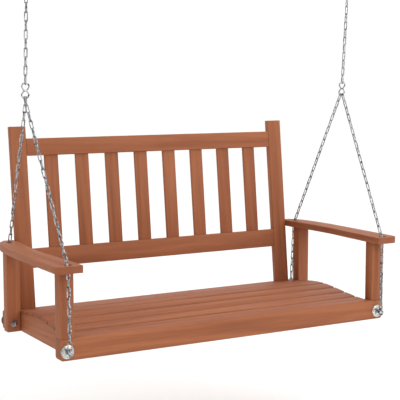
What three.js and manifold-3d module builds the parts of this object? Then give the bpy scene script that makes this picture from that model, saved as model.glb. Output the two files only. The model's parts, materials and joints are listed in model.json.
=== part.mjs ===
// Two-seat timber porch swing, hung on two chains from two ceiling plates.
//
// Units are millimetres, +Z is up and the swing faces -Y. The origin lies on the ceiling,
// midway between the two plates. The bench has a group of its own, whose zero is the front
// rail's lower front edge. It leans back about the connecting links, though not as far as the
// 5.5 degrees or so at which it would hang in balance.
import * as THREE from 'three';
import { mergeVertices } from 'three/addons/utils/BufferGeometryUtils.js';
import Module from 'manifold-3d';

const wasm = await Module();
wasm.setup();

// ---------------------------------------------------------------- driving dimensions

// Clearances
const fitGap = 0.3; // between boards that touch
const boreClearance = 0.4; // radial, round a bolt
const linkClearance = 1.2; // between two chained rings

// Bench, overall
const benchWidth = 1200; // over the ends of the front rail
const seatDepth = 475; // front face of the front rail to front face of the rear rail
const armHeight = 268; // underside of the armrests over the rails' bottom
const backHeight = 667; // front top edge of the stiles over the rails' bottom
const reclineDegrees = 6.3; // the back's lean over the seat
const hangDegrees = 4.2; // the whole bench's backward lean, between level and balance

// Seat frame
const frontRail = { thickness: 38, height: 66, cornerRadius: 11 };
const rearRail = { thickness: 25, height: 61, cornerRadius: 9, endInset: 5 };
const bearerThickness = 30; // side rails and middle bearer
const seatSlat = { count: 7, thickness: 12, gap: 6.2, frontWidth: 46, rearWidth: 78 };
const seatArch = { rise: 19.5, crownPlace: 0.63, rearFall: 1.4 }; // crownPlace: share of the depth

// Posts and armrests; an inset runs inwards from the bench's end, an overhang outwards
const post = { width: 46, rearDepth: 38 };
const armrest = {
  thickness: 21.5, innerInset: 57, outerOverhang: 26, frontOverhang: 47, rearOverhang: 35,
  rearWidth: 32, waist: 13, innerCorner: 5, outerCorner: 26, holeRadius: 12,
};

// Back
const stile = { width: 56, thickness: 22, outerInset: 60, footSetback: 6 };
const backRail = { thickness: 20, setback: 1 };
const topRail = { bottom: 569, height: 58 };
const lowerRail = { bottom: 195, height: 65 };
const backSlat = { count: 8, width: 49, thickness: 10 };

// Eyebolts with their washers and nuts
const eyebolt = { shankRadius: 4, eyeRadius: 10, wireRadius: 3.2, standOff: 22, height: 28, inset: 22 };
const outerWasher = { radius: 21, thickness: 2 };
const innerWasher = { radius: 11, thickness: 1.6 };
const capNut = { cornerRadius: 7.5, hexHeight: 7, domeRadius: 6.4, engagement: 8 };

// Chains and what they hang from
const chain = { wireRadius: 2, ringRadius: 8, pitch: 27, upperLinks: 12 };
const junction = { depth: 246, height: 765.5 }; // lower wire of the connecting links
const connectingLink = { ringRadius: 12, wireRadius: 2.5 };
const frontHole = { inset: 20, overhang: 20 }; // chain hole through the armrest, near its front
const rearHole = { inset: 30, behindSeat: 17 }; // and the one behind the rear post
const hook = { bendRadius: 9, wireRadius: 2.5, tipDegrees: 205 };
const ceilingRing = { radius: 11, wireRadius: 3, rootDepth: 1.5 };
const ceilingPlate = { width: 70, depth: 50, thickness: 4, cornerRadius: 8, holeRadius: 2.8, holeInset: 9 };

// ---------------------------------------------------------------- materials

const finish = (color, roughness, metalness) => (
  new THREE.MeshStandardMaterial({ color, roughness, metalness }));
const timber = finish(0x9c5f40, 0.6, 0);
const zinc = finish(0xb9bcc0, 0.3, 1);

// ---------------------------------------------------------------- solids

/** Turns a closed three.js geometry into a manifold solid. */
function toSolid(geometry) {
  const bare = geometry.clone();
  bare.deleteAttribute('normal');
  bare.deleteAttribute('uv');
  const merged = mergeVertices(bare, 1e-4);
  return new wasm.Manifold(new wasm.Mesh({
    numProp: 3,
    vertProperties: new Float32Array(merged.attributes.position.array),
    triVerts: new Uint32Array(merged.index.array),
  }));
}

/** Joins geometries into one solid and cuts others from it. */
function joinAndCut(added, removed = []) {
  const joined = added.map(toSolid).reduce((sum, solid) => sum.add(solid));
  const mesh = removed.map(toSolid).reduce((rest, solid) => rest.subtract(solid), joined).getMesh();
  const geometry = new THREE.BufferGeometry();
  geometry.setAttribute('position', new THREE.BufferAttribute(mesh.vertProperties, 3));
  geometry.setIndex(new THREE.BufferAttribute(mesh.triVerts, 1));
  return geometry;
}

/** A box from its lowest to its highest corner. */
function boxBetween(low, high) {
  const size = high.map((value, axis) => value - low[axis]);
  const centre = high.map((value, axis) => (value + low[axis]) / 2);
  return new THREE.BoxGeometry(...size).translate(...centre);
}

/** A cylinder between two points. */
function rod(from, to, radius, sides = 12) {
  const start = new THREE.Vector3(...from);
  const along = new THREE.Vector3(...to).sub(start);
  const upright = new THREE.Vector3(0, 1, 0);
  const turn = new THREE.Quaternion().setFromUnitVectors(upright, along.clone().normalize());
  const middle = start.addScaledVector(along, 0.5);
  return new THREE.CylinderGeometry(radius, radius, along.length(), sides)
    .applyQuaternion(turn)
    .translate(...middle.toArray());
}

/** A round ring in the XZ plane, so that its axis runs along Y. */
function ringXZ(centre, radius, wireRadius) {
  return new THREE.TorusGeometry(radius, wireRadius, 6, 14).rotateX(Math.PI / 2).translate(...centre);
}

/** A round ring in the YZ plane, so that its axis runs along X. */
function ringYZ(centre, radius, wireRadius) {
  return new THREE.TorusGeometry(radius, wireRadius, 6, 14).rotateY(Math.PI / 2).translate(...centre);
}

/** Extrudes a shape drawn in the XY plane between two heights. */
function extrudeUp(shape, bottom, top) {
  return new THREE.ExtrudeGeometry(shape, { depth: top - bottom, bevelEnabled: false, curveSegments: 8 })
    .translate(0, 0, bottom);
}

/** Extrudes a shape drawn in the YZ plane across X: its x becomes Y and its y becomes Z. */
function extrudeAcross(shape, left, right) {
  const turn = new THREE.Matrix4().makeBasis(
    new THREE.Vector3(0, 1, 0),
    new THREE.Vector3(0, 0, 1),
    new THREE.Vector3(1, 0, 0),
  );
  return new THREE.ExtrudeGeometry(shape, { depth: right - left, bevelEnabled: false })
    .applyMatrix4(turn)
    .translate(left, 0, 0);
}

/** Extrudes a shape drawn in the XZ plane back along +Y. */
function extrudeBack(shape, front, rear) {
  const options = { depth: rear - front, bevelEnabled: false, curveSegments: 6 };
  return new THREE.ExtrudeGeometry(shape, options).rotateX(Math.PI / 2).translate(0, rear, 0);
}

/** A flat washer on the Y axis, from one face to the other. */
function washer(near, far, innerRadius, outerRadius) {
  const corners = [[innerRadius, near], [outerRadius, near], [outerRadius, far], [innerRadius, far]];
  const profile = [...corners, corners[0]].map(([radius, y]) => new THREE.Vector2(radius, y));
  return new THREE.LatheGeometry(profile, 16);
}

// ---------------------------------------------------------------- scene graph

const swing = new THREE.Group();
const upright = new THREE.Group(); // hangs plumb, in the bench's own measures
const bench = new THREE.Group();
const back = new THREE.Group();
swing.add(upright, bench);
bench.add(back);

function addPart(group, name, geometry, material) {
  const mesh = new THREE.Mesh(geometry, material);
  mesh.name = name;
  group.add(mesh);
}

const sides = [{ side: 'left', sign: -1 }, { side: 'right', sign: 1 }];

/** Two X values in rising order, for a span that may be mirrored. */
const rising = (a, b) => [Math.min(a, b), Math.max(a, b)];

// ---------------------------------------------------------------- places on the bench

const halfWidth = benchWidth / 2;
const postInner = halfWidth - post.width;
const seatHalfWidth = postInner - fitGap; // outer faces of the side rails, ends of the slats
const seatFront = frontRail.thickness + fitGap;
const seatRear = seatDepth - fitGap;
const rearRailBack = seatDepth + rearRail.thickness;
const rearPostFront = seatDepth - post.rearDepth;
const boltX = halfWidth - eyebolt.inset;
const boreRadius = eyebolt.shankRadius + boreClearance;
const recline = THREE.MathUtils.degToRad(reclineDegrees);
const stileOuter = halfWidth - stile.outerInset;
const stileInner = stileOuter - stile.width;
const stileFoot = { y: seatDepth + stile.footSetback, z: rearRail.height + fitGap };

/** Height of the seat's arch at a depth: a soft rise to the crown, then a steeper fall. */
function seatTop(y) {
  const crownY = seatArch.crownPlace * seatDepth;
  const front = frontRail.height - 1;
  const crown = front + seatArch.rise;
  if (y < crownY) {
    return front + seatArch.rise * THREE.MathUtils.smoothstep(y, seatFront, crownY);
  }
  const share = (y - crownY) / (seatDepth - crownY);
  return crown - (crown - rearRail.height) * share ** seatArch.rearFall;
}

/** Each seat slat's section: its upper edges lie on the arch, and the board between is flat. */
function seatSlatSections() {
  const middleCount = seatSlat.count - 2;
  const gaps = (seatSlat.count - 1) * seatSlat.gap;
  const middleSpan = seatRear - seatFront - gaps - seatSlat.frontWidth - seatSlat.rearWidth;
  const widths = [
    seatSlat.frontWidth,
    ...Array(middleCount).fill(middleSpan / middleCount),
    seatSlat.rearWidth,
  ];
  let y = seatFront;
  return widths.map((width) => {
    const front = new THREE.Vector2(y, seatTop(y));
    const rear = new THREE.Vector2(y + width, seatTop(y + width));
    const along = rear.clone().sub(front).normalize();
    const down = new THREE.Vector2(along.y, -along.x);
    y += width + seatSlat.gap;
    return { front, rear, down };
  });
}

const slatSections = seatSlatSections();

/** The point a distance below a slat's upper edge, square to the slat. */
const below = (edge, section, distance) => edge.clone().addScaledVector(section.down, distance);

// ---------------------------------------------------------------- seat

/** A rail's face: a board with its two lower corners rounded. */
function railFace(halfLength, height, cornerRadius) {
  const shape = new THREE.Shape();
  shape.moveTo(-halfLength, height);
  shape.lineTo(-halfLength, cornerRadius);
  shape.absarc(-halfLength + cornerRadius, cornerRadius, cornerRadius, Math.PI, 1.5 * Math.PI);
  shape.lineTo(halfLength - cornerRadius, 0);
  shape.absarc(halfLength - cornerRadius, cornerRadius, cornerRadius, 1.5 * Math.PI, 2 * Math.PI);
  shape.lineTo(halfLength, height);
  return shape;
}

/** Bores for the eyebolts through whatever lies between two depths. */
function boltBores(near, far, xs) {
  return xs.map((x) => rod([x, near - 1, eyebolt.height], [x, far + 1, eyebolt.height], boreRadius, 12));
}

function addSeat() {
  const bothBolts = [-boltX, boltX];
  const frontFace = railFace(halfWidth, frontRail.height, frontRail.cornerRadius);
  addPart(bench, 'front_rail', joinAndCut(
    [extrudeBack(frontFace, 0, frontRail.thickness)],
    boltBores(0, frontRail.thickness, bothBolts),
  ), timber);
  const rearFace = railFace(halfWidth - rearRail.endInset, rearRail.height, rearRail.cornerRadius);
  addPart(bench, 'rear_rail', joinAndCut(
    [extrudeBack(rearFace, seatDepth, rearRailBack)],
    boltBores(seatDepth, rearRailBack, bothBolts),
  ), timber);

  const bearer = new THREE.Shape();
  bearer.moveTo(seatFront, 0);
  bearer.lineTo(seatRear, 0);
  const drop = seatSlat.thickness + fitGap;
  const last = slatSections[slatSections.length - 1];
  bearer.lineTo(seatRear, below(last.rear, last, drop).y);
  for (const section of [...slatSections].reverse()) {
    for (const edge of [section.rear, section.front]) {
      const corner = below(edge, section, drop);
      bearer.lineTo(corner.x, corner.y);
    }
  }
  const first = slatSections[0];
  bearer.lineTo(seatFront, below(first.front, first, drop).y);
  for (const { side, sign } of sides) {
    const [left, right] = rising(sign * (seatHalfWidth - bearerThickness), sign * seatHalfWidth);
    addPart(bench, `${side}_side_rail`, extrudeAcross(bearer, left, right), timber);
  }
  addPart(
    bench,
    'middle_bearer',
    extrudeAcross(bearer, -bearerThickness / 2, bearerThickness / 2),
    timber,
  );

  slatSections.forEach((section, index) => {
    const outline = new THREE.Shape([
      section.front,
      section.rear,
      below(section.rear, section, seatSlat.thickness),
      below(section.front, section, seatSlat.thickness),
    ]);
    addPart(
      bench,
      `seat_slat_${index + 1}`,
      extrudeAcross(outline, -seatHalfWidth, seatHalfWidth),
      timber,
    );
  });
}

// ---------------------------------------------------------------- posts and armrests

const frontHoleAt = { x: halfWidth - frontHole.inset, y: -frontHole.overhang };
const rearHoleAt = { x: halfWidth - rearHole.inset, y: seatDepth + rearHole.behindSeat };

/** The armrest's outline from above, for one side. */
function armrestOutline(sign) {
  const { innerCorner, outerCorner } = armrest;
  const inner = halfWidth - armrest.innerInset;
  const outer = halfWidth + armrest.outerOverhang;
  const front = -armrest.frontOverhang;
  const rear = rearRailBack + armrest.rearOverhang;
  const besideStile = stileOuter + fitGap;
  const taper = rear - rearPostFront; // the outer edge draws in beside and behind the rear post
  const at = (x, y) => new THREE.Vector2(sign * x, y);
  const shape = new THREE.Shape();
  shape.moveTo(sign * (inner + innerCorner), front);
  shape.lineTo(sign * (outer - outerCorner), front);
  shape.quadraticCurveTo(sign * outer, front, sign * outer, front + outerCorner);
  shape.lineTo(sign * outer, rear - 2 * taper);
  shape.splineThru([
    at(outer - 0.1 * taper, rearPostFront),
    at(outer - 0.25 * taper, rear - 0.4 * taper),
    at(besideStile + armrest.rearWidth, rear),
  ]);
  shape.lineTo(sign * besideStile, rear);
  shape.lineTo(sign * besideStile, seatDepth);
  shape.splineThru([
    at(inner + 0.75 * armrest.waist, rear - 2 * taper),
    at(inner + armrest.waist, seatDepth / 2),
    at(inner + 0.5 * armrest.waist, seatDepth / 4),
    at(inner, front + innerCorner),
  ]);
  shape.quadraticCurveTo(sign * inner, front, sign * (inner + innerCorner), front);
  return shape;
}

function addArms() {
  const postTop = armHeight - fitGap;
  for (const { side, sign } of sides) {
    const [left, right] = rising(sign * postInner, sign * halfWidth);
    addPart(bench, `${side}_front_post`, boxBetween(
      [left, 0, frontRail.height + fitGap],
      [right, frontRail.thickness, postTop],
    ), timber);
    addPart(bench, `${side}_rear_post`, joinAndCut(
      [boxBetween([left, rearPostFront, 0], [right, seatRear, postTop])],
      boltBores(rearPostFront, seatRear, [sign * boltX]),
    ), timber);

    const top = armHeight + armrest.thickness;
    const holes = [frontHoleAt, rearHoleAt].map(({ x, y }) => (
      rod([sign * x, y, armHeight - 1], [sign * x, y, top + 1], armrest.holeRadius, 16)));
    addPart(bench, `${side}_armrest`, joinAndCut(
      [extrudeUp(armrestOutline(sign), armHeight, top)],
      holes,
    ), timber);
  }
}

// ---------------------------------------------------------------- back

/** Distance up the leaning back, from the stiles' feet, of a height over the rails' bottom. */
const upTheBack = (height) => (height - stileFoot.z) / Math.cos(recline);

function addBack() {
  back.position.set(0, stileFoot.y, stileFoot.z);
  back.rotation.x = -recline;

  const length = upTheBack(backHeight);
  const footFall = stile.thickness * Math.tan(recline); // levels the foot on the rear rail
  const section = new THREE.Shape();
  section.moveTo(0, 0);
  section.lineTo(stile.thickness, footFall);
  section.lineTo(stile.thickness, length);
  section.lineTo(0, length);
  for (const { side, sign } of sides) {
    const [left, right] = rising(sign * stileInner, sign * stileOuter);
    addPart(back, `${side}_back_stile`, extrudeAcross(section, left, right), timber);
  }

  const railHalf = stileInner - fitGap;
  const rails = [['back_top_rail', topRail], ['back_lower_rail', lowerRail]];
  for (const [name, { bottom, height }] of rails) {
    addPart(back, name, boxBetween(
      [-railHalf, backRail.setback, upTheBack(bottom)],
      [railHalf, backRail.setback + backRail.thickness, upTheBack(bottom) + height],
    ), timber);
  }

  const space = (2 * stileInner - backSlat.count * backSlat.width) / (backSlat.count + 1);
  const slatFront = backRail.setback + (backRail.thickness - backSlat.thickness) / 2;
  const slatBottom = upTheBack(lowerRail.bottom) + lowerRail.height + fitGap;
  for (let index = 0; index < backSlat.count; index += 1) {
    const left = -stileInner + space + index * (backSlat.width + space);
    addPart(back, `back_slat_${index + 1}`, boxBetween(
      [left, slatFront, slatBottom],
      [left + backSlat.width, slatFront + backSlat.thickness, upTheBack(topRail.bottom) - fitGap],
    ), timber);
  }
}

// ---------------------------------------------------------------- eyebolts

/** A cap nut on the Y axis, its open face at y = 0 and its dome towards +Y. */
function capNutGeometry() {
  const { cornerRadius, hexHeight, domeRadius, engagement } = capNut;
  const dome = new THREE.SphereGeometry(domeRadius, 10, 6).translate(0, hexHeight, 0);
  return joinAndCut(
    [rod([0, 0, 0], [0, hexHeight, 0], cornerRadius, 6), dome],
    [rod([0, -1, 0], [0, engagement + fitGap, 0], boreRadius)],
  );
}

/** One eyebolt with washers and nut, through timber of a given thickness behind a face. */
function addEyebolt(place, x, faceY, outward, grip) {
  const bolt = new THREE.Group();
  bolt.position.set(x, faceY, eyebolt.height);
  bolt.rotation.z = outward > 0 ? Math.PI : 0; // the eye is drawn towards -Y
  bench.add(bolt);

  const washerBack = grip + fitGap + innerWasher.thickness;
  const nutFace = washerBack + fitGap;
  const eyeY = -eyebolt.standOff;
  addPart(bolt, `${place}_eyebolt`, joinAndCut([
    ringYZ([0, eyeY, 0], eyebolt.eyeRadius, eyebolt.wireRadius),
    rod([0, eyeY + eyebolt.eyeRadius, 0], [0, nutFace + capNut.engagement, 0], eyebolt.shankRadius),
  ]), zinc);
  const outer = washer(-fitGap - outerWasher.thickness, -fitGap, boreRadius, outerWasher.radius);
  addPart(bolt, `${place}_outer_washer`, outer, zinc);
  addPart(bolt, `${place}_inner_washer`, washer(
    grip + fitGap,
    washerBack,
    boreRadius,
    innerWasher.radius,
  ), zinc);
  addPart(bolt, `${place}_cap_nut`, capNutGeometry().translate(0, nutFace, 0), zinc);
}

function addEyebolts() {
  const rearGrip = rearRail.thickness + post.rearDepth;
  for (const { side, sign } of sides) {
    addEyebolt(`${side}_front`, sign * boltX, 0, -1, frontRail.thickness);
    addEyebolt(`${side}_rear`, sign * boltX, rearRailBack, 1, rearGrip);
  }
}

// ---------------------------------------------------------------- chains

const spread = chain.wireRadius + linkClearance; // of two chains side by side in one ring
const barRadius = spread - fitGap; // a chain's plain bar
const linkTop = junction.height + 4 * connectingLink.ringRadius; // upper wire's centre
const linkHold = connectingLink.wireRadius + chain.wireRadius + linkClearance;
const eyeHold = eyebolt.wireRadius + chain.wireRadius + linkClearance;
const hookHold = hook.wireRadius + chain.wireRadius + linkClearance;
const ringHold = ceilingRing.wireRadius + hook.wireRadius + linkClearance;

const upperChainFoot = linkTop - linkHold; // lower wire of the upper chain
const upperChainLength = chain.upperLinks * chain.pitch + 2 * chain.wireRadius;
const upperChainHead = upperChainFoot + upperChainLength;
const hookFoot = upperChainHead - hookHold; // the hook's lower wire
const hookHead = hookFoot + 4 * hook.bendRadius;
const ceilingRingFoot = hookHead - ringHold; // the ring's lower wire
const ceilingRingCentre = ceilingRingFoot + ceilingRing.radius;
const plateUnderside = ceilingRingCentre + ceilingRing.radius + ceilingRing.wireRadius
  - ceilingRing.rootDepth;
const ceiling = plateUnderside + ceilingPlate.thickness;

/** A lower chain: from the connecting link down to an armrest hole and on to an eyebolt. */
function lowerChainGeometry(x, hole, boltAt) {
  const head = new THREE.Vector3(
    x,
    junction.depth,
    junction.height + linkHold - chain.ringRadius,
  );
  const bend = new THREE.Vector3(hole.x, hole.y, armHeight + armrest.thickness / 2);
  const foot = new THREE.Vector3(
    boltAt.x,
    boltAt.y,
    eyebolt.height + eyebolt.eyeRadius - eyeHold + chain.ringRadius,
  );
  const towards = (from, to) => (
    from.clone().addScaledVector(to.clone().sub(from).normalize(), chain.ringRadius).toArray());
  return joinAndCut([
    ringYZ(head.toArray(), chain.ringRadius, chain.wireRadius),
    ringXZ(foot.toArray(), chain.ringRadius, chain.wireRadius),
    rod(towards(head, bend), bend.toArray(), barRadius, 6),
    rod(bend.toArray(), towards(foot, bend), barRadius, 6),
    new THREE.SphereGeometry(barRadius * 1.05, 8, 6).translate(...bend.toArray()),
  ]);
}

function addChains() {
  const chainX = halfWidth;
  const frontEyeY = -eyebolt.standOff;
  const rearEyeY = rearRailBack + eyebolt.standOff;
  for (const { side, sign } of sides) {
    const x = sign * chainX;
    const mirrored = ({ x: holeX, y }) => ({ x: sign * holeX, y });
    addPart(bench, `${side}_front_chain`, lowerChainGeometry(
      x + sign * spread,
      mirrored(frontHoleAt),
      { x: sign * boltX, y: frontEyeY },
    ), zinc);
    addPart(bench, `${side}_rear_chain`, lowerChainGeometry(
      x - sign * spread,
      mirrored(rearHoleAt),
      { x: sign * boltX, y: rearEyeY },
    ), zinc);

    const { ringRadius, wireRadius } = connectingLink;
    const lowerCentre = [x, junction.depth, junction.height + ringRadius];
    const upperCentre = [x, junction.depth, junction.height + 3 * ringRadius];
    addPart(upright, `${side}_connecting_link`, joinAndCut([
      ringXZ(lowerCentre, ringRadius, wireRadius),
      ringXZ(upperCentre, ringRadius, wireRadius),
    ]), zinc);

    const footRing = [x, junction.depth, upperChainFoot + chain.ringRadius];
    const headRing = [x, junction.depth, upperChainHead - chain.ringRadius];
    addPart(upright, `${side}_upper_chain`, joinAndCut([
      ringYZ(footRing, chain.ringRadius, chain.wireRadius),
      ringXZ(headRing, chain.ringRadius, chain.wireRadius),
      rod(
        [x, junction.depth, footRing[2] + chain.ringRadius],
        [x, junction.depth, headRing[2] - chain.ringRadius],
        barRadius,
        6,
      ),
    ]), zinc);
  }
}

// ---------------------------------------------------------------- hooks and ceiling plates

/** An S-hook in the YZ plane, its lower wire at z = 0. */
function hookGeometry() {
  const { bendRadius, wireRadius, tipDegrees } = hook;
  const arc = (centreZ, fromDegrees, toDegrees, steps) => Array.from({ length: steps + 1 }, (_, step) => {
    const angle = THREE.MathUtils.degToRad(fromDegrees + (toDegrees - fromDegrees) * step / steps);
    return new THREE.Vector3(0, bendRadius * Math.cos(angle), centreZ + bendRadius * Math.sin(angle));
  });
  const lowerBend = arc(bendRadius, tipDegrees + 180, 90, 12);
  const upperBend = arc(3 * bendRadius, -90, tipDegrees, 12);
  const path = new THREE.CatmullRomCurve3([...lowerBend, ...upperBend.slice(1)]);
  const wire = new THREE.Shape();
  wire.absarc(0, 0, wireRadius, 0, 2 * Math.PI);
  return new THREE.ExtrudeGeometry(wire, {
    steps: 22, curveSegments: 3, bevelEnabled: false, extrudePath: path,
  });
}

function ceilingPlateGeometry() {
  const { width, depth, thickness, cornerRadius, holeRadius, holeInset } = ceilingPlate;
  const [halfX, halfY] = [width / 2, depth / 2];
  const outline = new THREE.Shape();
  outline.absarc(halfX - cornerRadius, halfY - cornerRadius, cornerRadius, 0, Math.PI / 2);
  outline.absarc(cornerRadius - halfX, halfY - cornerRadius, cornerRadius, Math.PI / 2, Math.PI);
  outline.absarc(cornerRadius - halfX, cornerRadius - halfY, cornerRadius, Math.PI, 1.5 * Math.PI);
  outline.absarc(halfX - cornerRadius, cornerRadius - halfY, cornerRadius, 1.5 * Math.PI, 2 * Math.PI);
  const holes = [-1, 1].flatMap((signX) => [-1, 1].map((signY) => {
    const [x, y] = [signX * (halfX - holeInset), signY * (halfY - holeInset)];
    return rod([x, y, -thickness - 1], [x, y, 1], holeRadius);
  }));
  const ringCentre = [0, 0, ceilingRingCentre - ceiling];
  return joinAndCut(
    [
      extrudeUp(outline, -thickness, 0),
      ringXZ(ringCentre, ceilingRing.radius, ceilingRing.wireRadius),
    ],
    holes,
  );
}

function addHangers() {
  for (const { side, sign } of sides) {
    const x = sign * halfWidth;
    const hookMesh = hookGeometry().translate(x, 0, hookFoot - ceiling);
    addPart(swing, `${side}_s_hook`, hookMesh, zinc);
    addPart(swing, `${side}_ceiling_plate`, ceilingPlateGeometry().translate(x, 0, 0), zinc);
  }
}

// ---------------------------------------------------------------- the swing

upright.position.set(0, -junction.depth, -ceiling);
bench.rotation.x = -THREE.MathUtils.degToRad(hangDegrees);
bench.position.set(0, -junction.depth, -junction.height).applyEuler(bench.rotation);
bench.position.z += junction.height - ceiling; // turns it about the links' lower wires
addSeat();
addArms();
addBack();
addEyebolts();
addChains();
addHangers();

export default swing;
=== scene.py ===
"""Two-seat timber porch swing on chains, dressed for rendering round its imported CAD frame.

The bench leans back, between level and balance. Its boards are modelled square, in the CAD
frame turned level about the links it hangs from, and each is then leaned into place.
Lengths are metres unless a name ends in _mm.
"""

import json
import logging
import math
import random
from dataclasses import dataclass, field
from enum import Enum
from typing import Callable, Iterable, Sequence

import bmesh
import bpy
import numpy as np
from mathutils import Matrix, Vector


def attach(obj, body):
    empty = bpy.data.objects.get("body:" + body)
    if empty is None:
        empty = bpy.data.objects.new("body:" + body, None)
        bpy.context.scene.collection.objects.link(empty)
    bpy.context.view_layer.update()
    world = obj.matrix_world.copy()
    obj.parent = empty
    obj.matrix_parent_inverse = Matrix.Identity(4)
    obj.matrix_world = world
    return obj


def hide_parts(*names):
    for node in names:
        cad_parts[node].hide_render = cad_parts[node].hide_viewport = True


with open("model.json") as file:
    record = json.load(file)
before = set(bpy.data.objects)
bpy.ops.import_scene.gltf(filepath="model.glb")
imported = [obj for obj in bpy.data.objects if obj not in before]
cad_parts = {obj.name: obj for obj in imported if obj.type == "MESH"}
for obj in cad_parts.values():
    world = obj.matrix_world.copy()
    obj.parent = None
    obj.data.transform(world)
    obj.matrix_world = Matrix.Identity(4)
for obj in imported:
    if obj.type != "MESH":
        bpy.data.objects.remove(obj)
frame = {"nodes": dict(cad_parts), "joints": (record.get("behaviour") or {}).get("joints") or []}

log = logging.getLogger("porch_swing")

MM = 0.001
SIDES = {"left": -1, "right": 1}
HANG_DEGREES = 4.2  # the bench's backward lean, between level and balance
RECLINE_DEGREES = 6.3  # the back's own lean over the seat
PITCH_PIVOT = Vector(next(j["pos_m"] for j in frame["joints"] if j["name"] == "pitch"))


# ------------------------------------------------------------------ placing and picking


@dataclass(frozen=True)
class Tilt:
    """A frame in which a leaning group of boards stands square.

    Attributes:
        degrees: the group's backward lean over the CAD frame.
        pivot: a point on the X axis that it leans about.
    """

    degrees: float
    pivot: Vector = field(default_factory=lambda: PITCH_PIVOT.copy())

    def to_frame(self) -> Matrix:
        """The matrix from square coordinates to the CAD frame."""
        turn = Matrix.Rotation(-math.radians(self.degrees), 4, "X")
        return Matrix.Translation(self.pivot) @ turn @ Matrix.Translation(-self.pivot)

    def points(self, node: str) -> np.ndarray:
        """A CAD node's vertices in square coordinates, one per row."""
        square = self.to_frame().inverted()
        vertices = frame["nodes"][node].data.vertices
        return np.array([tuple(square @ v.co) for v in vertices])

    def box(self, node: str) -> tuple[Vector, Vector]:
        """A CAD node's lowest and highest corners in square coordinates."""
        points = self.points(node)
        return Vector(points.min(0)), Vector(points.max(0))

    def settle(self, piece: bpy.types.Object) -> None:
        """Leans a piece that was modelled in square coordinates into its place."""
        piece.data.transform(self.to_frame())

    def along_section(self, node: str) -> "Tilt":
        """The frame in which a long board of this group lies flat.

        Args:
            node: a board along X whose section is turned within the group.

        Returns:
            A tilt about the same pivot, with the section's own turn added.
        """
        corners = np.unique(self.points(node)[:, 1:].round(5), axis=0)
        spread, directions = np.linalg.eigh(np.cov(corners.T))
        y, z = directions[:, int(np.argmax(spread))]
        return Tilt(self.degrees - math.degrees(math.atan(z / y)), self.pivot)


PLUMB = Tilt(0.0)
SEAT = Tilt(HANG_DEGREES)
BACK = Tilt(HANG_DEGREES + RECLINE_DEGREES)


def only(piece: bpy.types.Object) -> bpy.types.Object:
    """Makes a piece the only selected object and the active one."""
    for other in bpy.context.selected_objects:
        other.select_set(False)
    piece.select_set(True)
    bpy.context.view_layer.objects.active = piece
    return piece


def named(name: str) -> bpy.types.Object:
    """Names the object that an operator has just added, and rests it at the origin."""
    piece = bpy.context.active_object
    piece.name = name
    piece.data.name = name
    only(piece)
    bpy.ops.object.transform_apply(location=True, rotation=True, scale=True)
    return piece


def block(name: str, low: Vector, high: Vector) -> bpy.types.Object:
    """Adds a squared block between two corners."""
    middle = (low + high) / 2
    bpy.ops.mesh.primitive_cube_add(size=1, location=middle, scale=high - low)
    return named(name)


def drum(name: str, middle: Vector, radius: float, depth: float, axis: str = "Z",
         sides: int = 32) -> bpy.types.Object:
    """Adds a closed drum whose axis runs along X, Y or Z."""
    turn = {"X": (0, math.pi / 2, 0), "Y": (math.pi / 2, 0, 0), "Z": (0, 0, 0)}[axis]
    bpy.ops.mesh.primitive_cylinder_add(
        vertices=sides, radius=radius, depth=depth, location=middle, rotation=turn)
    return named(name)


def ring(name: str, middle: Vector, radius: float, wire: float, axis: str = "Z",
         steps: int = 32, sides: int = 12) -> bpy.types.Object:
    """Adds a wire ring whose axis runs along X, Y or Z."""
    turn = {"X": (0, math.pi / 2, 0), "Y": (math.pi / 2, 0, 0), "Z": (0, 0, 0)}[axis]
    bpy.ops.mesh.primitive_torus_add(
        major_radius=radius, minor_radius=wire, major_segments=steps, minor_segments=sides,
        location=middle, rotation=turn)
    return named(name)


def pick(piece: bpy.types.Object, kind: str, test: Callable[[Sequence[Vector]], bool]) -> int:
    """Opens a piece for editing with only some of its elements selected.

    Args:
        piece: the piece, which stays in edit mode.
        kind: "VERT", "EDGE" or "FACE".
        test: says of an element's corner points whether it is wanted.

    Returns:
        How many elements were selected.
    """
    only(piece)
    bpy.ops.object.mode_set(mode="EDIT")
    bpy.ops.mesh.select_mode(type=kind)
    bpy.ops.mesh.select_all(action="DESELECT")
    mesh = bmesh.from_edit_mesh(piece.data)
    count = 0
    for element in {"VERT": mesh.verts, "EDGE": mesh.edges, "FACE": mesh.faces}[kind]:
        corners = [element.co] if kind == "VERT" else [v.co for v in element.verts]
        if test(corners):
            element.select_set(True)
            count += 1
    mesh.select_flush_mode()
    bmesh.update_edit_mesh(piece.data)
    return count


def done() -> None:
    """Closes the piece that is open for editing."""
    bpy.ops.object.mode_set(mode="OBJECT")


def combine(piece: bpy.types.Object, tools: Iterable[bpy.types.Object],
            operation: str = "DIFFERENCE") -> bpy.types.Object:
    """Cuts other solids from a piece, or welds them to it, and clears them away."""
    for tool in tools:
        only(piece)
        modifier = piece.modifiers.new(operation.title(), "BOOLEAN")
        modifier.operation, modifier.solver, modifier.object = operation, "EXACT", tool
        bpy.ops.object.modifier_apply(modifier=modifier.name)
        mesh = tool.data
        bpy.data.objects.remove(tool)
        bpy.data.meshes.remove(mesh)
    return piece


def ease_edges(piece: bpy.types.Object, width: float, segments: int = 3,
               sharper_than: float = 35) -> None:
    """Rounds every edge sharper than an angle and shades the piece smooth."""
    only(piece)
    modifier = piece.modifiers.new("Eased edges", "BEVEL")
    modifier.width, modifier.segments = width, segments
    modifier.limit_method, modifier.angle_limit = "ANGLE", math.radians(sharper_than)
    modifier.harden_normals = False
    bpy.ops.object.modifier_apply(modifier=modifier.name)
    bpy.ops.object.shade_smooth_by_angle(angle=math.radians(32))


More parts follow.
